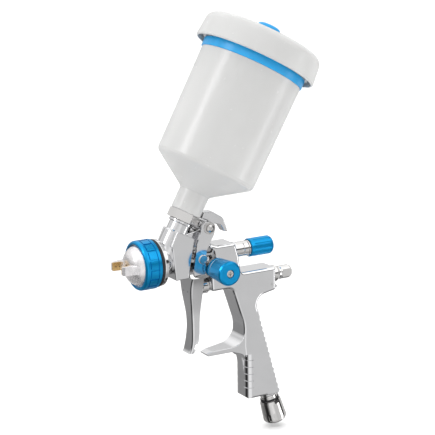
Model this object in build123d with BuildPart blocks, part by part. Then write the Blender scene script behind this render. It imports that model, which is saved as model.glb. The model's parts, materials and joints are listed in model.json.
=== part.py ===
"""HVLP gravity-feed spray gun with a tilted cup, as an assembly of separate pieces.

Frame: millimetres, +Z up.  The origin is the tip of the fluid nozzle.  Paint leaves along -X,
so the spray axis is the X axis, and the gun is symmetric about the plane Y = 0 apart from the
fan control, which stands out of the -Y side.
"""
from build123d import *
from math import cos, radians, sin
import os

os.makedirs("parts", exist_ok=True)

# ---- driving dimensions -------------------------------------------------------------------
FIT = 0.05                      # radial clearance of every turning or sliding fit

# front end, along the spray axis
LIP_X = 8.5                     # front lip of the air cap ring
RING_BACK_X = 22.7
RING_R = 19.9
THREAD_R = 17.8                 # threaded barrel that the ring turns on
BARREL_FRONT_X = 14.5
CAVITY_R = 14.6
NOZZLE_SHANK_R = 6.0
ORIFICE_R = 0.7

# cup axis: crosses the spray axis and leans back over the gun
CUP_TILT = 29.6
CUP_X = 33.3

# trigger
PIVOT_X, PIVOT_Z = 67.8, 25.5
ARM_INNER_Y = 12.8
ARM_OUTER_Y = 14.7
PIN_R = 2.5
BAR_X, BAR_Z, BAR_R = 61.5, 0.8, 3.3

# body, handle and valve axes
BODY_HALF_Y = 10.3
VALVE_Z = -25.5
FAN_X, FAN_Z = 73.0, -7.8
SLOT_X, SLOT_Z, SLOT_R = 68.7, 1.3, 7.2

# needle
NEEDLE_R = 1.0
KNOB_FRONT_X = 112.0
KNOB_R = 7.6
GUIDE_SEAT_X = 98.8

# air inlet: leaves the handle parallel to its back edge
INLET_X, INLET_Z = 130.4, -127.0
INLET_TILT = 16.5
INLET_BORE_R = 4.9
INLET_SEAT = 2.4                # how far the boss stands out along the inlet's axis

# ---- planes and axes ----------------------------------------------------------------------
CUP_DIR = (sin(radians(CUP_TILT)), 0, cos(radians(CUP_TILT)))
CUP_OUT = (cos(radians(CUP_TILT)), 0, -sin(radians(CUP_TILT)))
CUP_AXIS = Axis((CUP_X, 0, 0), CUP_DIR)
CUP_SECTION = Plane(origin=(CUP_X, 0, 0), x_dir=CUP_OUT, z_dir=(0, -1, 0))

INLET_DIR = (sin(radians(INLET_TILT)), 0, -cos(radians(INLET_TILT)))
INLET_OUT = (cos(radians(INLET_TILT)), 0, sin(radians(INLET_TILT)))
INLET_AXIS = Axis((INLET_X, 0, INLET_Z), INLET_DIR)
INLET_SECTION = Plane(origin=(INLET_X, 0, INLET_Z), x_dir=INLET_OUT, z_dir=(0, 1, 0))

VALVE_AXIS = Axis((0, 0, VALVE_Z), (1, 0, 0))
VALVE_SECTION = Plane(origin=(0, 0, VALVE_Z), x_dir=(1, 0, 0), z_dir=(0, -1, 0))
FAN_AXIS = Axis((FAN_X, 0, FAN_Z), (0, -1, 0))
FAN_SECTION = Plane(origin=(FAN_X, 0, FAN_Z), x_dir=(1, 0, 0), z_dir=(0, 0, 1))
PIVOT_AXIS = Axis((PIVOT_X, 0, PIVOT_Z), (0, 1, 0))
PIVOT_SECTION = Plane(origin=(PIVOT_X, 0, PIVOT_Z), x_dir=(1, 0, 0), z_dir=(0, 0, 1))


# ---- helpers ------------------------------------------------------------------------------
def outline(plane, points):
    """Closed straight-sided face on a plane."""
    with BuildSketch(plane) as face:
        with BuildLine():
            Polyline(*points, close=True)
        make_face()
    return face.sketch


def round_outline(plane, corners):
    """Closed face on a plane; each corner is (x, y, corner radius)."""
    points = [(x, y) for x, y, _ in corners]
    radii = [r for _, _, r in corners]
    with BuildSketch(plane) as face:
        with BuildLine():
            FilletPolyline(*points, radius=radii, close=True)
        make_face()
    return face.sketch


def tube_outline(plane, along, inner, outer):
    """Rectangle in a section plane whose first direction is the axis: a washer or a sleeve."""
    start, end = along
    return outline(plane, [(start, inner), (end, inner), (end, outer), (start, outer)])


def radial_tube(plane, along, inner, outer):
    """The same for a section plane whose second direction is the axis."""
    start, end = along
    return outline(plane, [(inner, start), (outer, start), (outer, end), (inner, end)])


def cast_plate(corners, half_width, edge_radius):
    """Plate standing on the XZ plane, symmetric about it, with its rims rounded."""
    with BuildPart() as plate:
        extrude(round_outline(Plane.XZ, corners), amount=half_width, both=True)
        fillet(plate.edges().group_by(Axis.Y)[0], edge_radius)
        fillet(plate.edges().group_by(Axis.Y)[-1], edge_radius)
    return plate.part


def ring_of_cutters(plane, count, pitch_radius, cutter_radius, depth):
    """Cylinders evenly spaced on a circle, used to flute knobs and nuts."""
    with BuildPart() as cutters:
        with BuildSketch(plane):
            with PolarLocations(pitch_radius, count):
                Circle(cutter_radius)
        extrude(amount=depth)
    return cutters.part


def coil_spring(origin, direction, mean_radius, wire_radius, length, turns):
    """Open-coiled round-wire spring."""
    with BuildPart() as spring:
        with BuildLine() as path:
            Helix(pitch=length / turns, height=length, radius=mean_radius,
                  center=origin, direction=direction)
        with BuildSketch(Plane(origin=path.line @ 0, z_dir=path.line % 0)):
            Circle(wire_radius)
        sweep(path=path.line, is_frenet=True)
    return spring.part


def save(piece, name):
    """Label a finished piece and write it."""
    piece.label = name
    export_step(piece, f"parts/{name}.step")


# ==== front end ============================================================================
# fluid nozzle: slim tip through the air cap, hexagon for the spanner, thread into the head
NOZZLE_HEX = (11.5, 16.0)
NOZZLE_END_X = 27.0
NOZZLE_BORE_R = 2.6
with BuildPart() as fluid_nozzle:
    revolve(outline(Plane.XZ, [(0, ORIFICE_R), (0, 1.5), (2.2, 1.7), (7, 4.2), (11.5, 6.4),
                               (NOZZLE_HEX[1], 6.4), (NOZZLE_HEX[1], NOZZLE_SHANK_R),
                               (NOZZLE_END_X, NOZZLE_SHANK_R), (NOZZLE_END_X, NOZZLE_BORE_R),
                               (9, NOZZLE_BORE_R), (2.0, ORIFICE_R)]), axis=Axis.X)
    with BuildSketch(Plane.YZ.offset(NOZZLE_HEX[0])):
        RegularPolygon(7.2, 6)
        Circle(NOZZLE_SHANK_R, mode=Mode.SUBTRACT)
    extrude(amount=NOZZLE_HEX[1] - NOZZLE_HEX[0])
save(fluid_nozzle.part, "fluid_nozzle")

# air cap: domed face with an annular gap round the nozzle and two air horns
CAP_FLANGE_R = 17.6
DOME_R = 16.0                   # leaves a gap inside the ring's lip
HORN_TIP_X = -7.6
HORN_HALF_Z = 3.4
CAP_HOLE_R = 2.4
with BuildPart() as air_cap:
    with BuildSketch(Plane.XZ):
        with BuildLine():
            Line((0.9, CAP_HOLE_R), (0.9, 6.0))
            ThreePointArc((0.9, 6.0), (4.4, 13.0), (LIP_X + 0.6, DOME_R))
            Polyline((LIP_X + 0.6, DOME_R), (LIP_X + 2.2, DOME_R), (LIP_X + 2.2, CAP_FLANGE_R),
                     (BARREL_FRONT_X - 0.2, CAP_FLANGE_R), (BARREL_FRONT_X - 0.2, 14.4),
                     (10.4, 14.2), (6.4, 9.0), (3.6, 3.8), (2.8, CAP_HOLE_R), (0.9, CAP_HOLE_R))
        make_face()
    revolve(axis=Axis.X)
    for side in (-1, 1):
        with BuildSketch(Plane.XY.offset(-HORN_HALF_Z)):
            with BuildLine():
                Polyline((HORN_TIP_X, side * 7.4), (HORN_TIP_X - 0.2, side * 9.6),
                         (HORN_TIP_X + 1.4, side * 11.4), (6.4, side * 13.8),
                         (7.0, side * 10.5), (2.2, side * 5.6), (-0.6, side * 6.2), close=True)
            make_face()
        extrude(amount=2 * HORN_HALF_Z)
    fillet(air_cap.edges().filter_by(Axis.Y, tolerance=40).filter_by(
        lambda e: e.center().X < -4), 0.8)
    # shaping-air holes: two in each horn's inner face, aimed at the spray axis
    for hole_x in (-5.0, -1.9):
        with Locations(Location((hole_x, 0, 0), (90, 0, 0))):
            Cylinder(0.6, 18.4, mode=Mode.SUBTRACT)
    # small balancing holes in the face
    with BuildSketch(Plane.YZ.offset(-1)):
        with PolarLocations(4.3, 4, start_angle=45):
            Circle(0.5)
    extrude(amount=6, mode=Mode.SUBTRACT)
save(air_cap.part, "air_cap")

# air cap ring: blue knurled ring that clamps the cap on the barrel
PAD_COUNT = 16
PADS_X = (LIP_X + 3.4, RING_BACK_X - 2.8)
PAD_GAP = 1.5
PAD_RELIEF = 0.7
RING_LIP_R = 17.3
with BuildPart() as air_cap_ring:
    with BuildSketch(Plane.XZ):
        with BuildLine():
            Line((LIP_X, RING_LIP_R), (LIP_X, 18.0))
            ThreePointArc((LIP_X, 18.0), (LIP_X + 0.8, 19.3), (LIP_X + 2.4, RING_R))
            Polyline((LIP_X + 2.4, RING_R), (RING_BACK_X - 0.6, RING_R),
                     (RING_BACK_X, RING_R - 0.6), (RING_BACK_X, THREAD_R + FIT),
                     (LIP_X + 2.1, THREAD_R + FIT), (LIP_X + 2.1, RING_LIP_R), (LIP_X, RING_LIP_R))
        make_face()
    revolve(axis=Axis.X)
    # the raised pads stand between a groove at each end and a gap at each side
    for groove_x in (PADS_X[0], PADS_X[1] - 0.7):
        revolve(tube_outline(Plane.XZ, (groove_x, groove_x + 0.7), RING_R - PAD_RELIEF, RING_R + 1),
                axis=Axis.X, mode=Mode.SUBTRACT)
    with BuildSketch(Plane.YZ.offset(PADS_X[0])):
        with PolarLocations(RING_R, PAD_COUNT):
            Rectangle(2 * PAD_RELIEF, PAD_GAP)
    extrude(amount=PADS_X[1] - PADS_X[0], mode=Mode.SUBTRACT)
save(air_cap_ring.part, "air_cap_ring")

# black seal ring behind the blue ring
SEAL_X = (RING_BACK_X + 0.1, 25.6)
with BuildPart() as head_seal:
    revolve(outline(Plane.XZ, [(SEAL_X[0], THREAD_R), (SEAL_X[0], 18.7), (SEAL_X[0] + 0.5, 19.2),
                               (SEAL_X[1] - 0.4, 19.2), (SEAL_X[1], 18.8),
                               (SEAL_X[1], THREAD_R)]), axis=Axis.X)
save(head_seal.part, "head_seal")

# air distribution ring: sits in the barrel round the nozzle and evens out the air
with BuildPart() as air_distribution_ring:
    revolve(tube_outline(Plane.XZ, (17.0, 20.0), 8.0, CAVITY_R), axis=Axis.X)
    with BuildSketch(Plane.YZ.offset(17.0)):
        with PolarLocations(11.4, 12):
            Circle(1.1)
    extrude(amount=3.0, mode=Mode.SUBTRACT)
save(air_distribution_ring.part, "air_distribution_ring")

# ==== gun body =============================================================================
BODY_CORNERS = [
    (72.5, -29.0, 2.0), (70.6, 11.0, 1.2), (77.0, 8.4, 4.0), (94.8, 8.4, 3.0),
    (98.0, -3.0, 8.0), (100.0, -17.4, 3.0), (133.2, -17.4, 1.5), (133.2, -36.6, 1.5),
    (112.9, -40.4, 9.0), (117.3, -56.0, 3.0), (113.6, -60.0, 3.0), (131.0, -122.0, 3.0),
    (131.0, -127.0, 2.0), (104.5, -127.0, 3.0), (104.5, -104.0, 30.0),
    (101.8, -80.0, 30.0), (102.4, -62.0, 25.0), (91.4, -29.0, 6.0)]
# the grip's back is a plate of its own, with sharper rims, so that the scallops show at its sides
GRIP_BACK_TOP = (112.9, -40.4)
GRIP_BACK_END = (137.4, -127.0)
GRIP_BACK_CORNERS = [
    (115.7, -50.3, 1.0), (*GRIP_BACK_END, 3.0), (124.0, -127.0, 1.0), (106.0, -60.0, 1.0)]
FINGER_REST_CORNERS = [
    (67.6, -82.2, 0.8), (74.0, -80.8, 4.0), (101.7, -78.8, 13.0), (103.4, -62.0, 1.0),
    (110.0, -64.0, 1.0), (110.0, -100.0, 1.0), (104.4, -100.0, 1.0),
    (101.6, -87.4, 6.0), (91.0, -83.6, 8.0), (70.6, -84.6, 1.0)]
FINGER_REST_TAPER = [(66.0, 4.6), (98.0, 9.8), (112.0, 9.8)]   # half width along X
HEAD_CORNERS = [
    (35.9, 12.2, 1.0), (34.8, 14.2, 1.0), (40.6, 26.0, 1.2), (55.9, 17.8, 1.0),
    (49.9, -13.9, 1.0), (38.4, -14.2, 1.0)]
WEB_CORNERS = [
    (46.0, -12.4, 1.0), (74.0, -12.4, 1.0), (74.0, 9.0, 1.0), (70.4, 14.0, 3.0),
    (71.0, 30.0, 3.0), (66.6, 29.5, 1.0), (61.5, 23.5, 2.0), (46.0, 21.0, 1.0)]
HOOK_CORNERS = [
    (69.4, 36.0, 1.0), (77.0, 35.8, 6.0), (86.8, 29.6, 7.0), (91.4, 17.4, 0.8),
    (87.8, 17.8, 0.8), (84.4, 23.6, 3.0), (78.0, 25.8, 3.0), (70.0, 24.0, 2.0),
    (64.0, 25.0, 1.0)]
SPUR = [(131.0, -32.0), (133.4, -33.0), (135.4, -34.2), (138.2, -34.9), (138.5, -36.3),
        (136.4, -37.0), (128.0, -37.6)]
SCALLOP_COUNT = 14
SCALLOP_PITCH = 4.9
SCALLOP_START = 20.0
SCALLOP_R = 2.5
SCALLOP_DEPTH = 1.5
GRIP_FRONT_X = 104.5
GRIP_ROUND_R = 6.0
GRIP_ROUND_TOP = -88.0
GRIP_NOTCHES = 5
GRIP_NOTCH_TOP = -93.0
GRIP_NOTCH_PITCH = 6.0
GRIP_NOTCH_DEPTH = 0.8
GRIP_NOTCH_WIDTH = 0.9
GRIP_HEIGHT = 60.0


def grip_corner(side, top, reach, radius, height):
    """Cutter for one front corner of the grip: a corner block less a cylinder inside it."""
    centre = (GRIP_FRONT_X + reach, side * (BODY_HALF_Y - reach))
    with BuildPart() as cutter:
        with BuildSketch(Plane.XY.offset(top)):
            with Locations((centre[0] - reach / 2 - 1, centre[1] + side * (reach / 2 + 1))):
                Rectangle(reach + 2, reach + 2)
            with Locations(centre):
                Circle(radius, mode=Mode.SUBTRACT)
        extrude(amount=-height)
    return cutter.part


def finger_rest():
    """Curved rest under the trigger, narrower towards its tip."""
    mirrored = [(x, -half) for x, half in reversed(FINGER_REST_TAPER)]
    with BuildPart() as rest:
        extrude(round_outline(Plane.XZ, FINGER_REST_CORNERS), amount=BODY_HALF_Y, both=True)
        extrude(outline(Plane.XY.offset(-110), FINGER_REST_TAPER + mirrored), amount=60,
                mode=Mode.INTERSECT)
        sides = rest.faces().filter_by(lambda face: abs(face.normal_at().Y) > 0.9)
        fillet(sides.edges(), 0.7)
    return rest.part


with BuildPart() as gun_body:
    # handle, valve housing and needle block, finger rest, head block, web and hook
    add(cast_plate(BODY_CORNERS, BODY_HALF_Y, 2.4))
    add(cast_plate(GRIP_BACK_CORNERS, BODY_HALF_Y, 1.0))
    add(finger_rest())
    add(cast_plate(HEAD_CORNERS, 12.0, 0.9))
    add(cast_plate(WEB_CORNERS, 8.4, 0.9))
    add(cast_plate(HOOK_CORNERS, 4.2, 0.9))
    extrude(outline(Plane.XZ, SPUR), amount=3.5, both=True)
    # barrel and flange round the spray axis, then the shoulder into the head block
    revolve(outline(Plane.XZ, [(BARREL_FRONT_X, 0), (BARREL_FRONT_X, THREAD_R - 0.4),
                               (BARREL_FRONT_X + 0.4, THREAD_R), (25.6, THREAD_R),
                               (25.6, 18.3), (26.4, 18.7), (28.6, 18.7), (29.4, 17.6),
                               (30.4, 14.6), (36.0, 11.0), (44.0, 11.0), (44.0, 0)]), axis=Axis.X)
    # cup neck
    revolve(outline(CUP_SECTION, [(0, 2), (10.2, 2), (10.2, 24.5), (8.9, 26.2), (8.9, 32.6),
                                  (10.0, 33.4), (10.0, 34.8), (9.4, 35.3), (0, 35.3)]),
            axis=CUP_AXIS)
    # boss for the trigger pivot, rim round the fan control
    revolve(radial_tube(PIVOT_SECTION, (-12.6, 12.6), 0, 5.8), axis=PIVOT_AXIS)
    revolve(outline(FAN_SECTION, [(0, -5.5), (8.4, -5.5), (8.4, -11.0), (8.0, -11.4), (0, -11.4)]),
            axis=FAN_AXIS)
    # square-cut bosses for the air inlet and for the needle guide
    revolve(outline(INLET_SECTION, [(0, -6), (6.4, -6), (6.4, 2.0), (6.0, INLET_SEAT),
                                    (0, INLET_SEAT)]), axis=INLET_AXIS)
    revolve(tube_outline(Plane.XZ, (91.0, GUIDE_SEAT_X), 0, 6.9), axis=Axis.X)
    # cavity behind the air cap with the threaded boss for the nozzle
    revolve(tube_outline(Plane.XZ, (BARREL_FRONT_X, 26.0), 8.0, CAVITY_R), axis=Axis.X,
            mode=Mode.SUBTRACT)
    revolve(tube_outline(Plane.XZ, (BARREL_FRONT_X, NOZZLE_HEX[1]), 0, 8.0), axis=Axis.X,
            mode=Mode.SUBTRACT)
    # paint way: nozzle thread, chamber, needle passage and packing seat
    revolve(outline(Plane.XZ, [(NOZZLE_HEX[1], 0), (NOZZLE_HEX[1], NOZZLE_SHANK_R),
                               (NOZZLE_END_X, NOZZLE_SHANK_R), (NOZZLE_END_X, 3.5),
                               (42.0, 3.5), (42.0, 1.4), (48.6, 1.4), (48.6, 3.2),
                               (52.0, 3.2), (52.0, 4.4), (60.0, 4.4), (60.0, 0)]), axis=Axis.X,
            mode=Mode.SUBTRACT)
    revolve(outline(CUP_SECTION, [(0, 0), (4.5, 0), (4.5, 18.0), (7.4, 18.0), (7.4, 35.4),
                                  (0, 35.4)]), axis=CUP_AXIS, mode=Mode.SUBTRACT)
    # window where the trigger bar moves, open through both sides
    revolve(radial_tube(Plane(origin=(SLOT_X, 0, SLOT_Z), x_dir=(1, 0, 0), z_dir=(0, 0, 1)),
                        (-12.9, 12.9), 0, SLOT_R),
            axis=Axis((SLOT_X, 0, SLOT_Z), (0, 1, 0)), mode=Mode.SUBTRACT)
    extrude(outline(Plane.XZ, [(57.0, -4.6), (SLOT_X, -5.6), (SLOT_X, 8.3), (57.0, 6.6)]),
            amount=12.9, both=True, mode=Mode.SUBTRACT)
    # needle spring chamber and thread for the guide sleeve
    revolve(outline(Plane.XZ, [(70.0, 0), (70.0, 2.2), (80.0, 2.2), (80.0, 3.6), (90.0, 3.6),
                               (90.0, 5.0), (101.0, 5.0), (101.0, 0)]), axis=Axis.X,
            mode=Mode.SUBTRACT)
    # air valve bore, front to back through the housing
    revolve(outline(VALVE_SECTION, [(72.0, 0), (72.0, 5.0), (84.0, 5.0), (84.0, 3.4),
                                    (88.0, 3.4), (88.0, 5.4), (134.0, 5.4), (134.0, 0)]),
            axis=VALVE_AXIS, mode=Mode.SUBTRACT)
    # fan valve pocket
    revolve(radial_tube(FAN_SECTION, (-11.6, -5.2), 0, 5.0), axis=FAN_AXIS, mode=Mode.SUBTRACT)
    # air way up the handle
    revolve(outline(INLET_SECTION, [(0, 3), (INLET_BORE_R, 3), (INLET_BORE_R, -12.0),
                                    (4.0, -13.0), (4.0, -99.0), (0, -99.0)]),
            axis=INLET_AXIS, mode=Mode.SUBTRACT)
    # hole for the pivot pin
    revolve(radial_tube(PIVOT_SECTION, (-13, 13), 0, PIN_R), axis=PIVOT_AXIS, mode=Mode.SUBTRACT)
    # rounded front corners of the grip, with short notches across them
    for side in (-1, 1):
        add(grip_corner(side, GRIP_ROUND_TOP, GRIP_ROUND_R, GRIP_ROUND_R, GRIP_HEIGHT),
            mode=Mode.SUBTRACT)
        for index in range(GRIP_NOTCHES):
            add(grip_corner(side, GRIP_NOTCH_TOP - index * GRIP_NOTCH_PITCH, GRIP_ROUND_R,
                            GRIP_ROUND_R - GRIP_NOTCH_DEPTH, GRIP_NOTCH_WIDTH), mode=Mode.SUBTRACT)
    # scalloped back of the grip
    grip_down = (Vector(GRIP_BACK_END[0], 0, GRIP_BACK_END[1])
                 - Vector(GRIP_BACK_TOP[0], 0, GRIP_BACK_TOP[1])).normalized()
    grip_out = Vector(-grip_down.Z, 0, grip_down.X)
    for index in range(SCALLOP_COUNT):
        centre = (Vector(GRIP_BACK_TOP[0], 0, GRIP_BACK_TOP[1])
                  + grip_down * (SCALLOP_START + index * SCALLOP_PITCH)
                  + grip_out * (SCALLOP_R - SCALLOP_DEPTH))
        with Locations(Location(centre, (90, 0, 0))):
            Cylinder(SCALLOP_R, 2 * BODY_HALF_Y + 2, mode=Mode.SUBTRACT)
save(gun_body.part, "gun_body")

# ==== trigger ==============================================================================
ARM_CORNERS = [
    (61.4, 30.2, 5.0), (74.0, 32.0, 6.0), (72.2, 20.0, 6.0), (64.8, 8.0, 20.0),
    (63.4, -6.0, 4.0), (63.4, -11.6, 0.3), (53.3, -11.6, 0.3), (53.2, -6.0, 4.0),
    (56.6, 14.0, 4.0), (59.6, 22.0, 6.0)]
# lever sections going down: height, front, back, half width at the front and at the back
LEVER = [(-11.0, 53.4, 63.3, 14.4, 14.65), (-19.0, 53.2, 63.4, 10.2, 11.6),
         (-30.0, 53.4, 63.6, 8.2, 9.2), (-49.0, 55.6, 62.6, 5.8, 6.2),
         (-64.0, 55.6, 62.0, 6.4, 6.0), (-74.0, 54.2, 59.4, 7.4, 6.6),
         (-79.0, 52.2, 56.2, 6.6, 6.2)]
LEVER_WALL = 1.6


def lever_loft(sections, inset, back_gap):
    """Lofted lever body; inset and back_gap turn the outer form into the space inside it."""
    with BuildPart() as form:
        for height, front, back, half_front, half_back in sections:
            with BuildSketch(Plane.XY.offset(height)):
                with BuildLine():
                    FilletPolyline((back + back_gap, -half_back + inset),
                                   (front + inset, -half_front + inset),
                                   (front + inset, half_front - inset),
                                   (back + back_gap, half_back - inset),
                                   radius=2.4 - inset / 2)
                    Line((back + back_gap, half_back - inset), (back + back_gap, -half_back + inset))
                make_face()
        loft()
    return form.part


with BuildPart() as trigger:
    for side in (-1, 1):
        with BuildSketch(Plane.XZ.offset(-side * (ARM_OUTER_Y + ARM_INNER_Y) / 2)):
            add(round_outline(Plane.XY, ARM_CORNERS))
        extrude(amount=(ARM_OUTER_Y - ARM_INNER_Y) / 2, both=True)
    add(lever_loft(LEVER, 0, 0))
    add(lever_loft(LEVER[:-1], LEVER_WALL, 1.0), mode=Mode.SUBTRACT)
    # two small holes through the front web, and the web starts below the head to swing clear of it
    for hole_y in (-3.3, 3.3):
        with Locations(Location((54.0, hole_y, -27.5), (0, 90, 0))):
            Cylinder(0.7, 6.0, mode=Mode.SUBTRACT)
    extrude(outline(Plane.XZ, [(50, -15.6), (66, -15.6), (66, -9), (50, -9)]), amount=12.4, both=True,
            mode=Mode.SUBTRACT)
    revolve(radial_tube(PIVOT_SECTION, (-16, 16), 0, PIN_R + FIT), axis=PIVOT_AXIS,
            mode=Mode.SUBTRACT)
save(trigger.part, "trigger")

# bar between the arms; the needle passes through its slot and its back face pushes the collar
with BuildPart() as trigger_bar:
    revolve(radial_tube(Plane(origin=(BAR_X, 0, BAR_Z), x_dir=(1, 0, 0), z_dir=(0, 0, 1)),
                        (-ARM_INNER_Y, ARM_INNER_Y), 0, BAR_R),
            axis=Axis((BAR_X, 0, BAR_Z), (0, 1, 0)))
    extrude(outline(Plane.XZ, [(BAR_X - 4, -1.7), (BAR_X + 4, -1.7), (BAR_X + 4, 3.0),
                               (BAR_X - 4, 3.0)]), amount=1.4, both=True, mode=Mode.SUBTRACT)
save(trigger_bar.part, "trigger_bar")

# pin heads that hold the bar in the arms
with BuildPart() as bar_caps:
    for side in (-1, 1):
        with BuildSketch(Plane(origin=(BAR_X, side * ARM_OUTER_Y, BAR_Z), x_dir=(1, 0, 0),
                               z_dir=(0, side, 0))):
            Circle(3.8)
        extrude(amount=0.9)
    chamfer(bar_caps.edges().group_by(Axis.Y)[0] + bar_caps.edges().group_by(Axis.Y)[-1], 0.4)
save(bar_caps.part, "trigger_bar_caps")

# pivot: a pin through arms and boss, with a domed head on each end and a washer under it
PIVOT_HEAD_Y = ARM_OUTER_Y + 0.9
with BuildPart() as trigger_pivot_pin:
    revolve(outline(PIVOT_SECTION, [(0, -PIVOT_HEAD_Y - 1.9), (1.6, -PIVOT_HEAD_Y - 1.8),
                                    (3.2, -PIVOT_HEAD_Y - 1.0), (3.4, -PIVOT_HEAD_Y),
                                    (PIN_R, -PIVOT_HEAD_Y), (PIN_R, PIVOT_HEAD_Y), (0, PIVOT_HEAD_Y)]),
            axis=PIVOT_AXIS)
    with BuildSketch(Plane(origin=(PIVOT_X, -PIVOT_HEAD_Y - 2.5, PIVOT_Z), x_dir=(1, 0, 0),
                           z_dir=(0, 1, 0))):
        Rectangle(4.4, 0.8, rotation=35)
    extrude(amount=1.4, mode=Mode.SUBTRACT)
save(trigger_pivot_pin.part, "trigger_pivot_pin")

with BuildPart() as pivot_washers:
    for side in (-1, 1):
        inner_y = side * (ARM_OUTER_Y + 0.1)
        outer_y = side * PIVOT_HEAD_Y
        groove_y = side * (PIVOT_HEAD_Y - 0.45)
        revolve(outline(PIVOT_SECTION, [(PIN_R, inner_y), (5.0, inner_y), (5.0, outer_y),
                                        (4.2, outer_y), (4.2, groove_y), (3.5, groove_y),
                                        (3.5, outer_y), (PIN_R, outer_y)]), axis=PIVOT_AXIS)
save(pivot_washers.part, "pivot_washers")

with BuildPart() as pivot_nut:
    revolve(outline(PIVOT_SECTION, [(0, PIVOT_HEAD_Y), (3.4, PIVOT_HEAD_Y),
                                    (3.2, PIVOT_HEAD_Y + 0.9), (1.6, PIVOT_HEAD_Y + 1.5),
                                    (0, PIVOT_HEAD_Y + 1.6)]), axis=PIVOT_AXIS)
save(pivot_nut.part, "pivot_nut")

# ==== fluid needle =========================================================================
COLLAR_X = BAR_X + BAR_R + 0.02
NEEDLE_END_X = 104.0
with BuildPart() as fluid_needle:
    revolve(outline(Plane.XZ, [(-0.6, 0), (0.4, 0.25), (2.2, ORIFICE_R - 0.02), (6.5, NEEDLE_R),
                               (COLLAR_X, NEEDLE_R), (COLLAR_X, 3.0), (COLLAR_X + 2.2, 3.0),
                               (COLLAR_X + 2.2, 2.1), (84.4, 2.1), (84.4, 3.2), (86.4, 3.2),
                               (86.4, 1.3), (NEEDLE_END_X, 1.3), (NEEDLE_END_X, 0)]),
            axis=Axis.X)
save(fluid_needle.part, "fluid_needle")

with BuildPart() as needle_packing:
    revolve(tube_outline(Plane.XZ, (48.6, 52.0), NEEDLE_R + FIT, 3.2), axis=Axis.X)
save(needle_packing.part, "needle_packing")

with BuildPart() as packing_nut:
    revolve(tube_outline(Plane.XZ, (52.0, 57.2), NEEDLE_R + 0.3, 4.4), axis=Axis.X)
    with BuildSketch(Plane.YZ.offset(56.0)):
        Rectangle(1.0, 9.0)
        Circle(NEEDLE_R + 0.3, mode=Mode.SUBTRACT)
    extrude(amount=1.4, mode=Mode.SUBTRACT)
save(packing_nut.part, "packing_nut")

NEEDLE_SPRING_X = (86.6, 109.4)
save(coil_spring((NEEDLE_SPRING_X[0] + 0.35, 0, 0), (1, 0, 0), 2.4, 0.35,
                 NEEDLE_SPRING_X[1] - NEEDLE_SPRING_X[0] - 0.7, 9), "needle_spring")

# guide sleeve screwed into the back of the body; the knob turns on its thread
SLEEVE_THREAD_R = 4.7
with BuildPart() as needle_guide_sleeve:
    revolve(outline(Plane.XZ, [(90.2, 3.3), (90.2, 5.0), (GUIDE_SEAT_X, 5.0), (GUIDE_SEAT_X, 6.3),
                               (104.6, 6.3), (105.0, 5.9), (105.6, 5.9), (106.0, 6.3),
                               (110.0, 6.3), (110.6, 5.7), (110.6, SLEEVE_THREAD_R),
                               (124.0, SLEEVE_THREAD_R), (124.0, 3.3)]), axis=Axis.X)
save(needle_guide_sleeve.part, "needle_guide_sleeve")

with BuildPart() as knob_washer:
    revolve(tube_outline(Plane.XZ, (110.6, 111.5), SLEEVE_THREAD_R, 6.6), axis=Axis.X)
save(knob_washer.part, "knob_washer")

# needle knob: plain front band, fluted grip, domed end, plug inside that seats the spring
KNOB_FLUTES = 12
with BuildPart() as needle_knob:
    with BuildSketch(Plane.XZ):
        with BuildLine():
            Polyline((KNOB_FRONT_X, SLEEVE_THREAD_R + FIT), (KNOB_FRONT_X, KNOB_R - 0.5),
                     (KNOB_FRONT_X + 0.5, KNOB_R), (131.4, KNOB_R))
            ThreePointArc((131.4, KNOB_R), (133.2, 6.6), (134.2, 4.6))
            Polyline((134.2, 4.6), (134.4, 0), (128.0, 0), (128.0, 1.6), (109.6, 1.6),
                     (109.6, 3.1), (128.4, 3.1), (128.4, SLEEVE_THREAD_R + FIT),
                     (KNOB_FRONT_X, SLEEVE_THREAD_R + FIT))
        make_face()
    revolve(axis=Axis.X)
    add(ring_of_cutters(Plane.YZ.offset(KNOB_FRONT_X + 3.2), KNOB_FLUTES, KNOB_R + 0.5, 1.1, 16.2),
        mode=Mode.SUBTRACT)
save(needle_knob.part, "needle_knob")

# ==== air valve ============================================================================
with BuildPart() as air_valve_stem:
    revolve(outline(VALVE_SECTION, [(55.3, 0), (55.9, 1.4), (57.0, 2.0), (88.05, 2.0),
                                    (88.05, 4.6), (90.4, 4.6), (90.4, 2.0), (100.0, 2.0),
                                    (100.0, 0)]), axis=VALVE_AXIS)
save(air_valve_stem.part, "air_valve_stem")

with BuildPart() as air_valve_nut:
    revolve(outline(VALVE_SECTION, [(65.9, 2.0 + FIT), (65.9, 5.6), (66.6, 6.3), (71.8, 6.3),
                                    (71.8, 5.0), (82.0, 5.0),
                                    (82.0, 2.0 + FIT)]), axis=VALVE_AXIS)
    with BuildSketch(Plane.YZ.offset(65.0).shift_origin((65.0, 0, VALVE_Z))):
        Rectangle(9.6, 1.2)
        Circle(2.6, mode=Mode.SUBTRACT)
    extrude(amount=1.9, mode=Mode.SUBTRACT)
save(air_valve_nut.part, "air_valve_nut")

with BuildPart() as air_valve_seal:
    revolve(tube_outline(VALVE_SECTION, (82.0, 84.0), 2.0 + FIT, 5.0), axis=VALVE_AXIS)
save(air_valve_seal.part, "air_valve_seal")

VALVE_SPRING_X = (90.6, 128.0)
save(coil_spring((VALVE_SPRING_X[0] + 0.4, 0, VALVE_Z), (1, 0, 0), 3.6, 0.4,
                 VALVE_SPRING_X[1] - VALVE_SPRING_X[0] - 0.8, 10), "air_valve_spring")

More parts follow.
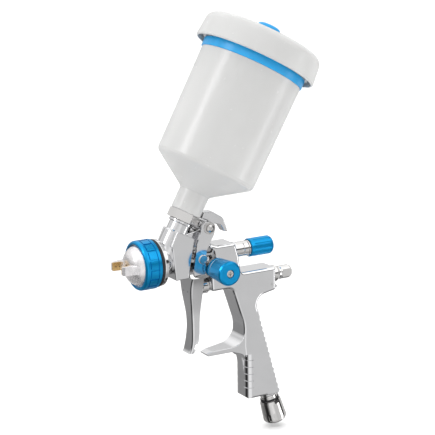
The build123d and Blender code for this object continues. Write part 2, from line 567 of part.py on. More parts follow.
with BuildPart() as air_valve_cap:
    revolve(outline(VALVE_SECTION, [(128.2, 0), (128.2, 5.4), (133.2, 5.4), (133.2, 6.5),
                                    (134.6, 6.9), (137.6, 6.9), (140.4, 5.4), (141.6, 5.2),
                                    (142.2, 5.6), (150.4, 5.6), (152.4, 4.6), (153.4, 2.6),
                                    (153.6, 0)]), axis=VALVE_AXIS)
    # two spanner flats on the head
    for side in (-1, 1):
        with BuildSketch(Plane.YZ.offset(143.0).shift_origin((143.0, side * 6.2, VALVE_Z))):
            Rectangle(3.4, 14.0)
        extrude(amount=12.0, mode=Mode.SUBTRACT)
save(air_valve_cap.part, "air_valve_cap")

# ==== fan control ==========================================================================
# slim where the trigger's arm swings past it, between the body and the knob
BUSH_R = 4.4
STEM_R = 2.5
with BuildPart() as fan_valve_bush:
    revolve(outline(FAN_SECTION, [(STEM_R + FIT, -6.2), (5.0, -6.2), (5.0, -11.4), (BUSH_R, -11.4),
                                  (BUSH_R, -22.0), (STEM_R + FIT, -22.0)]), axis=FAN_AXIS)
save(fan_valve_bush.part, "fan_valve_bush")

with BuildPart() as fan_valve_stem:
    revolve(outline(FAN_SECTION, [(0, -5.4), (1.4, -5.4), (STEM_R, -6.6), (STEM_R, -31.0), (0, -31.0)]),
            axis=FAN_AXIS)
save(fan_valve_stem.part, "fan_valve_stem")

FAN_KNOB_FACE = -37.5
with BuildPart() as fan_knob:
    revolve(outline(FAN_SECTION, [(BUSH_R + FIT, -15.9), (8.1, -15.9), (8.6, -16.4), (8.9, -19.2),
                                  (8.3, -19.6), (8.3, -20.2), (8.9, -20.6), (9.7, -31.0),
                                  (10.0, -35.6), (9.4, -36.9), (8.0, FAN_KNOB_FACE),
                                  (3.4, FAN_KNOB_FACE), (3.4, -35.2), (2.5, -35.2),
                                  (2.5, -22.6), (BUSH_R + FIT, -22.6)]), axis=FAN_AXIS)
    add(ring_of_cutters(Plane(origin=(FAN_X, -22.5, FAN_Z), x_dir=(1, 0, 0), z_dir=(0, -1, 0)),
                        16, 10.6, 1.1, 12.0), mode=Mode.SUBTRACT)
    add(ring_of_cutters(Plane(origin=(FAN_X, -15.0, FAN_Z), x_dir=(1, 0, 0), z_dir=(0, -1, 0)),
                        24, 9.0, 0.5, 4.0), mode=Mode.SUBTRACT)
save(fan_knob.part, "fan_knob")

with BuildPart() as fan_knob_screw:
    revolve(outline(FAN_SECTION, [(0, -31.0), (2.5, -31.0), (2.5, -35.2), (3.3, -35.2),
                                  (3.3, -36.8), (2.6, -37.4), (0, -37.6)]), axis=FAN_AXIS)
    with BuildSketch(Plane(origin=(FAN_X, -38.0, FAN_Z), x_dir=(1, 0, 0), z_dir=(0, 1, 0))):
        Rectangle(3.6, 0.9)
        Rectangle(0.9, 3.6)
    extrude(amount=2.0, mode=Mode.SUBTRACT)
save(fan_knob_screw.part, "fan_knob_screw")

# ==== air inlet ============================================================================
with BuildPart() as air_inlet_nipple:
    revolve(outline(INLET_SECTION, [(3.2, -11.8), (INLET_BORE_R, -11.8), (INLET_BORE_R, INLET_SEAT),
                                    (6.9, INLET_SEAT), (7.2, 2.8), (7.2, 5.4), (6.3, 5.8),
                                    (6.3, 7.2), (7.0, 7.4), (7.0, 8.6), (5.4, 9.0),
                                    (5.4, 11.4), (6.6, 11.8), (6.6, 13.4), (3.2, 13.4)]),
            axis=INLET_AXIS)
save(air_inlet_nipple.part, "air_inlet_nipple")

with BuildPart() as inlet_o_ring:
    revolve(outline(INLET_SECTION, [(6.3, 5.8), (7.5, 5.8), (7.9, 6.2), (7.9, 6.8), (7.5, 7.2),
                                    (6.3, 7.2)]), axis=INLET_AXIS)
save(inlet_o_ring.part, "inlet_o_ring")

# female union nut with a G1/4 mouth; its groove turns on the nipple's collar
NUT_FLUTES = 14
NUT_START, NUT_END = 7.6, 27.0
NUT_MOUTH_R = 5.9
with BuildPart() as air_inlet_nut:
    with BuildSketch(INLET_SECTION):
        with BuildLine():
            Polyline((5.4 + FIT, 9.2), (5.4 + FIT, 11.3), (6.6 + FIT, 11.6), (6.6 + FIT, 14.0),
                     (NUT_MOUTH_R, 14.6), (NUT_MOUTH_R, NUT_END), (8.6, NUT_END),
                     (9.9, NUT_END - 1.6), (9.9, NUT_END - 3.0), (9.0, NUT_START + 2.4),
                     (8.2, NUT_START), (7.0 + FIT, NUT_START), (7.0 + FIT, 8.8),
                     (5.4 + FIT, 9.2))
        make_face()
    revolve(axis=INLET_AXIS)
    with BuildSketch(Plane(origin=INLET_AXIS.position + INLET_AXIS.direction * (NUT_START + 2.6),
                           x_dir=(0, 1, 0), z_dir=INLET_DIR)):
        with PolarLocations(10.4, NUT_FLUTES):
            Rectangle(1.8, 2.2)
    extrude(amount=14.6, mode=Mode.SUBTRACT)
save(air_inlet_nut.part, "air_inlet_nut")

# ==== cup ==================================================================================
ADAPTER_HEX = (35.4, 42.7)
with BuildPart() as cup_adapter:
    revolve(outline(CUP_SECTION, [(4.5, 18.2), (7.4, 18.2), (7.4, ADAPTER_HEX[0]),
                                  (10.6, ADAPTER_HEX[0]), (10.6, ADAPTER_HEX[1]),
                                  (7.9, ADAPTER_HEX[1]), (7.9, 56.0), (4.5, 56.0)]),
            axis=CUP_AXIS)
    with BuildSketch(Plane(origin=CUP_AXIS.position + CUP_AXIS.direction * ADAPTER_HEX[0],
                           x_dir=(0, 1, 0), z_dir=CUP_DIR)):
        RegularPolygon(11.1, 6, major_radius=False)
        Circle(7.4, mode=Mode.SUBTRACT)
    extrude(amount=ADAPTER_HEX[1] - ADAPTER_HEX[0])
save(cup_adapter.part, "cup_adapter")

# strainer: a closed thimble that stands in the cup's outlet on the adapter
with BuildPart() as paint_strainer:
    revolve(outline(CUP_SECTION, [(4.6, 56.1), (7.0, 56.1), (7.0, 57.1), (5.4, 57.1),
                                  (4.6, 78.0), (0, 78.0), (0, 77.2), (3.9, 77.2)]),
            axis=CUP_AXIS)
save(paint_strainer.part, "paint_strainer")

CUP_NECK_R, CUP_BORE_R = 12.3, 7.9 + FIT
CONE_T, EDGE_T, BRIM_T = 61.5, 80.6, 184.0
CUP_R, BRIM_R = 41.4, 42.6
CUP_WALL = 1.6
with BuildPart() as paint_cup:
    with BuildSketch(CUP_SECTION):
        with BuildLine():
            Polyline((CUP_BORE_R, ADAPTER_HEX[1] + 0.1), (CUP_NECK_R - 0.6, ADAPTER_HEX[1] + 0.1),
                     (CUP_NECK_R, ADAPTER_HEX[1] + 0.7), (CUP_NECK_R, CONE_T - 1.6),
                     (13.6, CONE_T), (39.8, EDGE_T - 1.4), (40.9, EDGE_T),
                     (CUP_R, EDGE_T + 2.0), (BRIM_R, 168.0), (BRIM_R, BRIM_T),
                     (BRIM_R - CUP_WALL, BRIM_T), (BRIM_R - CUP_WALL, 168.0),
                     (CUP_R - CUP_WALL, EDGE_T + 2.4), (39.0, EDGE_T + 0.6),
                     (13.0, CONE_T + 1.6), (CUP_BORE_R + 2.2, CONE_T - 0.4),
                     (CUP_BORE_R, CONE_T - 2.6), (CUP_BORE_R, ADAPTER_HEX[1] + 0.1))
        make_face()
    revolve(axis=CUP_AXIS)
save(paint_cup.part, "paint_cup")

CUP_RING = (169.25, 176.7)
with BuildPart() as cup_band:
    revolve(outline(CUP_SECTION, [(BRIM_R, CUP_RING[0]), (43.2, CUP_RING[0]), (43.6, CUP_RING[0] + 0.5),
                                  (43.6, CUP_RING[1] - 0.4), (43.2, CUP_RING[1]),
                                  (BRIM_R, CUP_RING[1])]), axis=CUP_AXIS)
save(cup_band.part, "cup_band")

# lid: deep outer skirt, rounded shoulder, inner collar that turns on the cup's brim
LID_BOTTOM_T, LID_TOP_T = 175.4, 197.4
LID_R = 50.8
with BuildPart() as cup_lid:
    with BuildSketch(CUP_SECTION):
        with BuildLine():
            Polyline((4.0, LID_TOP_T), (43.0, LID_TOP_T))
            ThreePointArc((43.0, LID_TOP_T), (47.3, LID_TOP_T - 2.0), (49.3, LID_TOP_T - 6.0))
            Polyline((49.3, LID_TOP_T - 6.0), (LID_R, LID_BOTTOM_T + 1.0),
                     (LID_R - 0.8, LID_BOTTOM_T), (49.2, LID_BOTTOM_T), (48.0, 190.0),
                     (46.0, 193.6), (45.2, 193.6), (45.2, 177.6), (BRIM_R + 0.3, 177.6),
                     (BRIM_R + 0.3, 193.6), (38.0, 195.4), (4.0, 195.4), (4.0, LID_TOP_T))
        make_face()
    revolve(axis=CUP_AXIS)
save(cup_lid.part, "cup_lid")

# gasket under the lid, pressed on the brim
with BuildPart() as lid_gasket:
    revolve(outline(CUP_SECTION, [(36.0, BRIM_T + 0.2), (BRIM_R, BRIM_T + 0.2),
                                  (BRIM_R, BRIM_T + 1.4), (36.0, BRIM_T + 1.4)]), axis=CUP_AXIS)
save(lid_gasket.part, "lid_gasket")

# vent plug: stem through the lid's hole, round button on top
with BuildPart() as vent_plug:
    with BuildSketch(CUP_SECTION):
        with BuildLine():
            Polyline((0, 193.4), (3.2, 193.4), (3.95, 194.2), (3.95, LID_TOP_T + 0.2),
                     (9.2, LID_TOP_T + 0.2), (9.7, LID_TOP_T + 0.8), (9.7, LID_TOP_T + 6.6))
            ThreePointArc((9.7, LID_TOP_T + 6.6), (8.9, LID_TOP_T + 8.0), (7.2, LID_TOP_T + 8.7))
            Polyline((7.2, LID_TOP_T + 8.7), (0, LID_TOP_T + 9.2), (0, 193.4))
        make_face()
    revolve(axis=CUP_AXIS)
save(vent_plug.part, "vent_plug")
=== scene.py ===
"""Looks for the HVLP spray gun: materials, small fittings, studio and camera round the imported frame."""
import json
from math import cos, pi, radians, sin

import bmesh
import bpy
from mathutils import Matrix, Vector


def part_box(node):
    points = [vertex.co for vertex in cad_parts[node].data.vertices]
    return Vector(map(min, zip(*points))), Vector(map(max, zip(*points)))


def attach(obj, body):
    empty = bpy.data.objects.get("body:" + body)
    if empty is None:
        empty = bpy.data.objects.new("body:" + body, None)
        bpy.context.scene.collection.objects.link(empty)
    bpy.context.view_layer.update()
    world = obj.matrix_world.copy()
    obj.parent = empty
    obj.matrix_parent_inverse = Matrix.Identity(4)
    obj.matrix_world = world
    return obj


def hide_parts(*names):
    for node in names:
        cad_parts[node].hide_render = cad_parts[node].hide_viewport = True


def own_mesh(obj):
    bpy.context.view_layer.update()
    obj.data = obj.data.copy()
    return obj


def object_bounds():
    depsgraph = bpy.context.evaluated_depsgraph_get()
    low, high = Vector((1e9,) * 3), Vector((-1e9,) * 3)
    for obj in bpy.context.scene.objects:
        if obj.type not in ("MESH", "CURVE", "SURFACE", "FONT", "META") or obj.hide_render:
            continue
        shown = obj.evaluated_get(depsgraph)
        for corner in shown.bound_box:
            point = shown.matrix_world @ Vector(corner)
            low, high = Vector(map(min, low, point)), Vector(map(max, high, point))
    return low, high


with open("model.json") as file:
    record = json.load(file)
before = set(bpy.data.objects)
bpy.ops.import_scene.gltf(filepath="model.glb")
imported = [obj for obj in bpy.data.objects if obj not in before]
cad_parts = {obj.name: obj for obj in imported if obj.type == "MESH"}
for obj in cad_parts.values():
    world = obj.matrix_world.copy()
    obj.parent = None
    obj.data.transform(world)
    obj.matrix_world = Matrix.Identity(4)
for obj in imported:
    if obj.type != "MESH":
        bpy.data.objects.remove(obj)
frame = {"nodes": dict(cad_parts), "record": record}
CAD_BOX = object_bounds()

MM = 0.001
FULL_TURN = 2 * pi

# ---- places taken from the frame ----------------------------------------------------------
CUP_TILT = radians(29.6)
CUP_DIR = Vector((sin(CUP_TILT), 0, cos(CUP_TILT)))
CUP_LOW, CUP_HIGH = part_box("paint_cup")
CUP_MIDDLE = (CUP_LOW + CUP_HIGH) / 2
CUP_RADIUS = (CUP_HIGH.y - CUP_LOW.y) / 2
FRAME_LOW, FRAME_HIGH = (Vector(corner) for corner in CAD_BOX)
FRAME_MIDDLE = (FRAME_LOW + FRAME_HIGH) / 2


# ==== camera ===============================================================================
CAMERA_AZIMUTH, CAMERA_ELEVATION, CAMERA_ROLL = radians(-30.57), radians(13.46), radians(-0.82)
CAMERA_DISTANCE = 1.2359
CAMERA_TARGET = Vector((0.08396, 0.0, 0.02906))
CAMERA_LENS, CAMERA_SENSOR = 127.3, 36.0


def directions_to_matrix(x, y, z, place):
    """Places an object whose own axes point along x, y and z."""
    return Matrix.Translation(place) @ Matrix((x, y, z)).transposed().to_4x4()


back = Vector((sin(CAMERA_AZIMUTH) * cos(CAMERA_ELEVATION),
               -cos(CAMERA_AZIMUTH) * cos(CAMERA_ELEVATION), sin(CAMERA_ELEVATION)))
side = Vector((cos(CAMERA_AZIMUTH), sin(CAMERA_AZIMUTH), 0))
above = back.cross(side)
right = side * cos(CAMERA_ROLL) + above * sin(CAMERA_ROLL)
up = above * cos(CAMERA_ROLL) - side * sin(CAMERA_ROLL)
camera_data = bpy.data.cameras.new("camera")
camera_data.sensor_width = CAMERA_SENSOR
camera_data.lens = CAMERA_LENS
camera = bpy.data.objects.new("camera", camera_data)
camera.matrix_world = directions_to_matrix(right, up, back, CAMERA_TARGET + back * CAMERA_DISTANCE)
bpy.context.scene.collection.objects.link(camera)
bpy.context.scene.camera = camera
bpy.context.scene.view_settings.view_transform = "Standard"


# ==== materials ============================================================================
class Shader:
    """A principled material with helpers for the nodes that vary it over the surface."""

    def __init__(self, name, colour, **sockets):
        self.material = bpy.data.materials.new(name)
        self.material.use_nodes = True
        self.tree = self.material.node_tree
        self.bsdf = self.tree.nodes["Principled BSDF"]
        self.set("Base Color", (*colour, 1.0))
        for socket, value in sockets.items():
            self.set(socket.replace("_", " "), value)
        coords = self.tree.nodes.new("ShaderNodeTexCoord")
        self.point = coords.outputs["Object"]

    def set(self, socket, value):
        self.bsdf.inputs[socket].default_value = value

    def node(self, kind, links, **settings):
        made = self.tree.nodes.new(kind)
        for key, value in settings.items():
            if key in made.inputs:
                made.inputs[key].default_value = value
            else:
                setattr(made, key, value)
        for socket, source in links.items():
            self.tree.links.new(source, made.inputs[socket])
        return made

    def stretched(self, scale):
        """Object coordinates squeezed along an axis, for turned marks."""
        return self.node("ShaderNodeMapping", {"Vector": self.point}, Scale=scale).outputs["Vector"]

    def noise(self, scale, detail, vector=None):
        made = self.node("ShaderNodeTexNoise", {"Vector": vector or self.point},
                         Scale=scale, Detail=detail)
        return made.outputs["Fac"]

    def spread(self, source, low, high):
        """Maps a 0 to 1 value to a range."""
        made = self.node("ShaderNodeMapRange", {"Value": source})
        made.inputs["To Min"].default_value = low
        made.inputs["To Max"].default_value = high
        return made.outputs["Result"]

    def fade(self, source, start, end):
        """Rises from 0 at start to 1 at end."""
        made = self.node("ShaderNodeMapRange", {"Value": source})
        made.inputs["From Min"].default_value = start
        made.inputs["From Max"].default_value = end
        return made.outputs["Result"]

    def patches(self, colour, dark, scale, detail, edges=(0.3, 0.7)):
        """The colour, darkened in soft patches."""
        made = self.node("ShaderNodeValToRGB", {"Fac": self.noise(scale, detail)})
        shades = [tuple(channel * dark for channel in colour), colour]
        for element, place, shade in zip(made.color_ramp.elements, edges, shades):
            element.position = place
            element.color = (*shade, 1.0)
        return made.outputs["Color"]

    def link(self, source, socket):
        self.tree.links.new(source, self.bsdf.inputs[socket])

    def bump(self, source, strength, distance):
        made = self.node("ShaderNodeBump", {"Height": source}, Strength=strength, Distance=distance)
        self.link(made.outputs["Normal"], "Normal")


ALONG_X = (1.0, 0.02, 0.02)
GRAIN_HEIGHT = 0.1 * MM


def chrome(name, colour, low, high):
    """Polished plate: faint waviness from hand polishing and a slightly cloudy shine."""
    shader = Shader(name, colour, Metallic=1.0)
    cloud = shader.noise(scale=160.0, detail=4.0)
    shader.link(shader.spread(cloud, low, high), "Roughness")
    shader.link(shader.patches(colour, dark=0.95, scale=45.0, detail=2.0), "Base Color")
    shader.bump(shader.noise(scale=90.0, detail=2.0), strength=0.05, distance=0.4 * MM)
    return shader.material


def turned_rings(shader, low, high):
    """Fine lathe rings round the spray axis, in the roughness and the relief."""
    rings = shader.noise(scale=900.0, detail=2.0, vector=shader.stretched(ALONG_X))
    shader.link(shader.spread(rings, low, high), "Roughness")
    shader.bump(rings, strength=0.12, distance=GRAIN_HEIGHT)


def turned_metal(name, colour, low, high):
    """Lathe-turned metal with rougher and smoother bands."""
    shader = Shader(name, colour, Metallic=1.0)
    turned_rings(shader, low, high)
    mottle = shader.patches(colour, dark=0.86, scale=300.0, detail=3.0, edges=(0.25, 0.75))
    shader.link(mottle, "Base Color")
    return shader.material


def anodised(name, colour):
    """Bright blue anodised aluminium: a satin coloured metal under a clear oxide."""
    shader = Shader(name, colour, Metallic=0.85, Coat_Weight=0.08, Coat_Roughness=0.12)
    grain = shader.noise(scale=1400.0, detail=2.0)
    shader.link(shader.spread(grain, low=0.26, high=0.36), "Roughness")
    shader.link(shader.patches(colour, dark=0.93, scale=120.0, detail=2.0), "Base Color")
    shader.bump(grain, strength=0.05, distance=GRAIN_HEIGHT)
    return shader.material


def milky_plastic(name, colour):
    """Translucent nylon: light scatters inside, with faint flow clouding."""
    depth = 20 * MM
    shader = Shader(name, colour, IOR=1.5, Subsurface_Weight=1.0,
                    Subsurface_Radius=(depth, depth, depth), Sheen_Weight=0.2, Sheen_Roughness=0.4)
    shader.link(shader.patches(colour, dark=0.95, scale=22.0, detail=3.0), "Base Color")
    grain = shader.noise(scale=300.0, detail=2.0)
    shader.link(shader.spread(grain, low=0.2, high=0.3), "Roughness")
    shader.bump(shader.noise(scale=40.0, detail=2.0), strength=0.06, distance=0.6 * MM)
    return shader.material


def plated_cap(name, colour, bare):
    """Satin nickel over brass, worn through on the inner faces of the horns."""
    worn_from, worn_fully = 9.0 * MM, 7.6 * MM          # distance from the gun's middle plane
    horn_root, horn_face = 9.0 * MM, 6.0 * MM           # distance behind the horns' tips
    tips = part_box("air_cap")[0].x
    shader = Shader(name, colour, Metallic=0.75)
    turned_rings(shader, low=0.2, high=0.32)
    split = shader.node("ShaderNodeSeparateXYZ", {"Vector": shader.point})
    sideways = shader.node("ShaderNodeMath", {0: split.outputs["Y"]}, operation="ABSOLUTE")
    inner = shader.fade(sideways.outputs[0], worn_from, worn_fully)
    forward = shader.fade(split.outputs["X"], tips + horn_root, tips + horn_face)
    both = shader.node("ShaderNodeMath", {0: inner, 1: forward}, operation="MULTIPLY")
    mottle = shader.patches(colour, dark=0.82, scale=260.0, detail=3.0)
    mixed = shader.node("ShaderNodeMix", {"Factor": both.outputs[0], 6: mottle}, data_type="RGBA")
    mixed.inputs[7].default_value = (*bare, 1.0)
    shader.link(mixed.outputs[2], "Base Color")
    return shader.material


def moulded(name, colour, low, high):
    """Moulded plastic or rubber with a fine mould grain."""
    shader = Shader(name, colour)
    grain = shader.noise(scale=900.0, detail=3.0)
    shader.link(shader.spread(grain, low, high), "Roughness")
    shader.link(shader.patches(colour, dark=0.9, scale=150.0, detail=2.0), "Base Color")
    shader.bump(grain, strength=0.08, distance=GRAIN_HEIGHT)
    return shader.material


MATERIALS = {
    "chrome_casting": chrome("polished_casting", (0.80, 0.80, 0.81), low=0.07, high=0.13),
    "chrome_fittings": chrome("polished_fittings", (0.78, 0.77, 0.76), low=0.1, high=0.17),
    "polished_steel": turned_metal("turned_steel", (0.68, 0.67, 0.66), low=0.18, high=0.3),
    "satin_cap": plated_cap("satin_nickel", (0.86, 0.84, 0.85), bare=(0.62, 0.42, 0.18)),
    "brass": turned_metal("machined_brass", (0.74, 0.53, 0.25), low=0.2, high=0.34),
    "spring_steel": turned_metal("spring_wire", (0.5, 0.5, 0.5), low=0.3, high=0.4),
    "blue_anodised": anodised("blue_anodised", (0.003, 0.31, 0.66)),
    "blue_plastic": moulded("blue_plastic", (0.01, 0.32, 0.68), low=0.26, high=0.36),
    "milky_plastic": milky_plastic("milky_nylon", (0.53, 0.53, 0.525)),
    "black_rubber": moulded("black_rubber", (0.012, 0.012, 0.014), low=0.45, high=0.65),
    "white_seal": moulded("white_seal", (0.82, 0.82, 0.8), low=0.4, high=0.5),
    "strainer_mesh": moulded("strainer_plastic", (0.7, 0.7, 0.66), low=0.45, high=0.6),
}

for part in frame["record"]["subparts"]:
    node = frame["nodes"][part["node"]]
    node.data.materials.clear()
    node.data.materials.append(MATERIALS[part["material_slot"]])


# ==== small fittings =======================================================================
WELD = 0.0001 * MM
SMOOTH_ANGLE = radians(35)
LATHE_STEPS = 64


def finish_piece(name, mesh):
    data = bpy.data.meshes.new(name)
    mesh.to_mesh(data)
    mesh.free()
    data.shade_smooth()
    data.set_sharp_from_angle(angle=SMOOTH_ANGLE)
    piece = bpy.data.objects.new(name, data)
    bpy.context.scene.collection.objects.link(piece)
    return piece


def dress(piece, slot, body):
    piece.data.materials.append(MATERIALS[slot])
    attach(piece, body)


def lathe(name, profile, origin, direction):
    """Closed ring turned about an axis; the profile is (radius, distance along it) in mm."""
    mesh = bmesh.new()
    outline = [mesh.verts.new((radius * MM, 0, along * MM)) for radius, along in profile]
    edges = [mesh.edges.new((outline[i - 1], outline[i])) for i in range(len(outline))]
    bmesh.ops.spin(mesh, geom=outline + edges, cent=(0, 0, 0), axis=(0, 0, 1), angle=FULL_TURN,
                   steps=LATHE_STEPS)
    bmesh.ops.remove_doubles(mesh, verts=mesh.verts, dist=WELD)
    bmesh.ops.dissolve_degenerate(mesh, edges=mesh.edges, dist=WELD)
    bmesh.ops.recalc_face_normals(mesh, faces=mesh.faces)
    turn = Vector((0, 0, 1)).rotation_difference(Vector(direction)).to_matrix().to_4x4()
    mesh.transform(Matrix.Translation(origin) @ turn)
    return finish_piece(name, mesh)


def fan_knob_line():
    """Thin bright ring in the groove between the fan knob's knurled base and its barrel."""
    base_length = 3.7 * MM
    low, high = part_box("fan_knob")
    middle = (low + high) / 2
    origin = Vector((middle.x, high.y - base_length, middle.z))
    profile = [(8.1, 0.05), (8.75, 0.05), (8.85, 0.3), (8.75, 0.65), (8.1, 0.65)]
    ring = lathe("fan_knob_line", profile, origin, (0, -1, 0))
    dress(ring, "polished_steel", "pattern_knob")


def housing_screw():
    """Grub screw in the side of the valve housing, with a hexagon socket."""
    behind_valve_cap, face, height = 1.0 * MM, -10.2 * MM, -31.0 * MM
    round_sides, socket_sides = 32, 6
    rim_radius, edge_radius, socket_radius = 1.3, 1.15, 0.75
    origin = Vector((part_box("air_valve_cap")[0].x + behind_valve_cap, face, height))
    mesh = bmesh.new()

    def loop(radius, along, sides):
        """Corners round the screw's axis, sizes in mm, with along measured out of the housing."""
        angles = [FULL_TURN * k / sides for k in range(sides)]
        return [mesh.verts.new((radius * MM * cos(angle), -along * MM, radius * MM * sin(angle)))
                for angle in angles]

    def wall(first, second):
        for k in range(len(first)):
            following = (k + 1) % len(first)
            mesh.faces.new((first[k], first[following], second[following], second[k]))

    foot = loop(rim_radius, 0.0, round_sides)
    shoulder = loop(rim_radius, 0.12, round_sides)
    edge = loop(edge_radius, 0.25, round_sides)
    mouth = loop(socket_radius, 0.25, socket_sides)
    bottom = loop(socket_radius, -0.5, socket_sides)
    wall(foot, shoulder)
    wall(shoulder, edge)
    rim = [mesh.edges.get((edge[k - 1], edge[k])) for k in range(round_sides)]
    socket = [mesh.edges.new((mouth[k - 1], mouth[k])) for k in range(socket_sides)]
    bmesh.ops.triangle_fill(mesh, edges=rim + socket, use_beauty=True)
    wall(mouth, bottom)
    mesh.faces.new(bottom)
    mesh.faces.new(foot)
    bmesh.ops.recalc_face_normals(mesh, faces=mesh.faces)
    mesh.transform(Matrix.Translation(origin))
    dress(finish_piece("housing_screw", mesh), "spring_steel", "gun")


def working_spring(node_name):
    """The coil, as a copy of the imported spring in spring wire, held to the gun in place of the hidden
    part.
    """
    coil = bpy.data.objects.new(node_name + "_coil", frame["nodes"][node_name].data.copy())
    bpy.context.scene.collection.objects.link(coil)
    coil.data.materials.clear()
    dress(coil, "spring_steel", "gun")
    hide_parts(node_name)
    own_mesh(coil)


fan_knob_line()
housing_screw()
working_spring("needle_spring")
working_spring("air_valve_spring")

# ==== studio ===============================================================================
STRIP_DISTANCE = 1.3
STRIP_WIDTH, STRIP_LENGTH = 0.3, 0.62
FLOOR_GAP = 0.004
FLOOR_REACH = 2.4
FLOOR_STEPS = 96
FLOOR_WELD = 0.01 * MM
BACKDROP_BEND = 0.9
BACKDROP_TOP = 2.6

# How bright the surroundings are at each bearing from -Y, in degrees, towards +X.
ROUND_THE_STUDIO = [(-180, 0.45), (-150, 0.30), (-114, 0.28), (-107, 0.04), (-74, 0.03),
                    (-68, 0.22), (-60, 0.3), (-50, 0.95), (-12, 1.0), (4, 0.66), (38, 0.66),
                    (48, 0.9), (58, 1.0), (64, 0.06), (82, 0.05), (92, 0.7), (150, 0.5), (180, 0.45)]
# The same by height, as the sine of the angle above the horizon: at the front right, and elsewhere.
UP_THE_FRONT = [(-1.0, 0.3), (-0.7, 0.5), (-0.45, 1.0), (0.04, 1.0), (0.1, 0.04), (0.3, 0.04),
                (0.38, 1.5), (0.8, 1.5), (1.0, 1.2)]
UP_THE_BACK = [(-1.0, 0.3), (-0.7, 0.5), (-0.45, 1.0), (0.2, 0.9), (0.4, 0.7), (0.6, 1.2),
               (1.0, 1.2)]
BRIGHTEST = 1.5
# Where one pattern gives way to the other, as parts of a unit direction.
FRONT_EDGE, RIGHT_EDGE, OVERHEAD_EDGE = (-0.1, 0.25), (0.05, 0.25), (0.05, 0.25)


def area_light(name, width, length, power):
    data = bpy.data.lights.new(name, "AREA")
    data.shape = "RECTANGLE"
    data.size = width
    data.size_y = length
    data.energy = power
    light = bpy.data.objects.new(name, data)
    bpy.context.scene.collection.objects.link(light)
    return light


def lamp(name, place, size, power):
    """Soft square light aimed at the gun, kept out of reflections."""
    light = area_light(name, size, size, power)
    light.location = place
    light.rotation_euler = (FRAME_MIDDLE - Vector(place)).to_track_quat("-Z", "Y").to_euler()
    light.visible_glossy = False


def strip_light(name, turn, power):
    """Narrow light along the cup, seen in its side at an angle round its axis from the camera."""
    facing = (back - CUP_DIR * back.dot(CUP_DIR)).normalized()
    normal = Matrix.Rotation(turn, 3, CUP_DIR) @ facing
    spot = CUP_MIDDLE + normal * CUP_RADIUS
    outward = (2 * normal.dot(back) * normal - back).normalized()
    across = CUP_DIR.cross(outward).normalized()
    along = outward.cross(across)
    light = area_light(name, STRIP_WIDTH, STRIP_LENGTH, power)
    light.matrix_world = directions_to_matrix(across, along, outward, spot + outward * STRIP_DISTANCE)


def pale_floor(level):
    """Round floor whose rim curves up into a backdrop on every side."""
    profile = [(0.0, 0.0), (FLOOR_REACH / 2, 0.0), (FLOOR_REACH, 0.0)]
    for degrees in range(10, 91, 10):
        turn = radians(degrees)
        profile.append((FLOOR_REACH + BACKDROP_BEND * sin(turn), BACKDROP_BEND * (1 - cos(turn))))
    profile.append((FLOOR_REACH + BACKDROP_BEND, BACKDROP_TOP))
    mesh = bmesh.new()
    rim = [mesh.verts.new((x, 0, level + z)) for x, z in profile]
    edges = [mesh.edges.new(pair) for pair in zip(rim, rim[1:])]
    bmesh.ops.spin(mesh, geom=rim + edges, cent=(0, 0, 0), axis=(0, 0, 1), angle=FULL_TURN,
                   steps=FLOOR_STEPS)
    bmesh.ops.remove_doubles(mesh, verts=mesh.verts, dist=FLOOR_WELD)
    data = bpy.data.meshes.new("floor")
    mesh.to_mesh(data)
    mesh.free()
    data.shade_smooth()
    floor = bpy.data.objects.new("floor", data)
    floor.visible_glossy = False
    floor.visible_shadow = False
    bpy.context.scene.collection.objects.link(floor)
    pale = (0.93, 0.93, 0.93)
    shader = Shader("pale_floor", pale, Roughness=0.7)
    shader.link(shader.patches(pale, dark=0.9785, scale=3.0, detail=2.0), "Base Color")
    data.materials.append(shader.material)


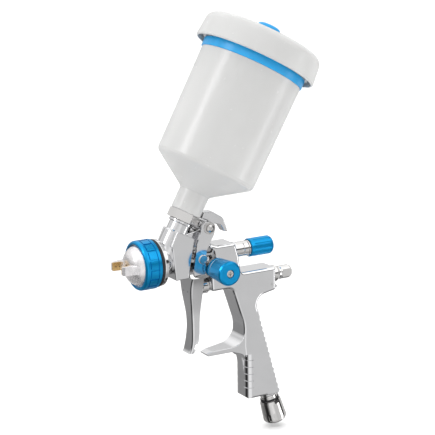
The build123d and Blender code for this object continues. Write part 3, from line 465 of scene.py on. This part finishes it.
def studio_world():
    """Soft white surroundings with dark gaps between the lights, which chrome shows as lines."""
    world = bpy.data.worlds.new("studio")
    bpy.context.scene.world = world
    world.use_nodes = True
    tree = world.node_tree
    surroundings = tree.nodes["Background"]

    def add(kind, links, **settings):
        made = tree.nodes.new(kind)
        for key, value in settings.items():
            setattr(made, key, value)
        for socket, source in links.items():
            tree.links.new(source, made.inputs[socket])
        return made

    def multiply(first, second):
        return add("ShaderNodeMath", {0: first, 1: second}, operation="MULTIPLY").outputs[0]

    def unit(source, low, high):
        """Maps a range to 0 to 1."""
        made = add("ShaderNodeMapRange", {"Value": source})
        made.inputs["From Min"].default_value = low
        made.inputs["From Max"].default_value = high
        return made.outputs["Result"]

    def grey_ramp(source, stops, full):
        """Grey levels, as parts of full, along a value whose range is that of the stops."""
        low, high = stops[0][0], stops[-1][0]
        made = add("ShaderNodeValToRGB", {"Fac": source})
        band = made.color_ramp
        while len(band.elements) < len(stops):
            band.elements.new(0.5)
        for element, (place, level) in zip(band.elements, stops):
            element.position = (place - low) / (high - low)
            element.color = (level / full, level / full, level / full, 1.0)
        return made.outputs["Color"]

    direction = add("ShaderNodeTexCoord", {}).outputs["Generated"]
    split = add("ShaderNodeSeparateXYZ", {"Vector": direction})
    toward_front = add("ShaderNodeMath", {0: split.outputs["Y"]}, operation="MULTIPLY")
    toward_front.inputs[1].default_value = -1.0
    bearing = add("ShaderNodeMath", {0: split.outputs["X"], 1: toward_front.outputs[0]},
                  operation="ARCTAN2").outputs[0]
    by_bearing = grey_ramp(unit(bearing, -pi, pi), ROUND_THE_STUDIO, 1.0)
    height = unit(split.outputs["Z"], -1.0, 1.0)
    front_right = multiply(unit(toward_front.outputs[0], *FRONT_EDGE),
                           unit(split.outputs["X"], *RIGHT_EDGE))
    by_height = add("ShaderNodeMix", {"Factor": front_right,
                                      6: grey_ramp(height, UP_THE_BACK, BRIGHTEST),
                                      7: grey_ramp(height, UP_THE_FRONT, BRIGHTEST)},
                    data_type="RGBA")
    all_round = add("ShaderNodeMix", {"Factor": unit(split.outputs["Z"], *OVERHEAD_EDGE),
                                      6: by_bearing}, data_type="RGBA")
    all_round.inputs[7].default_value = (1.0, 1.0, 1.0, 1.0)
    pattern = add("ShaderNodeMix", {6: all_round.outputs[2], 7: by_height.outputs[2]},
                  data_type="RGBA", blend_type="MULTIPLY")
    pattern.inputs["Factor"].default_value = 1.0
    tree.links.new(pattern.outputs[2], surroundings.inputs["Color"])
    surroundings.inputs["Strength"].default_value = BRIGHTEST


pale_floor(FRAME_LOW.z - FLOOR_GAP)
studio_world()
lamp("key", (-1.0, -1.4, 1.5), size=1.2, power=7)
lamp("fill", (1.3, -1.0, 0.9), size=1.2, power=4)
strip_light("left_strip", radians(-31), power=3.2)
strip_light("right_strip", radians(45), power=1.3)
lamp("top", (0.1, 0.5, 1.9), size=1.5, power=9)
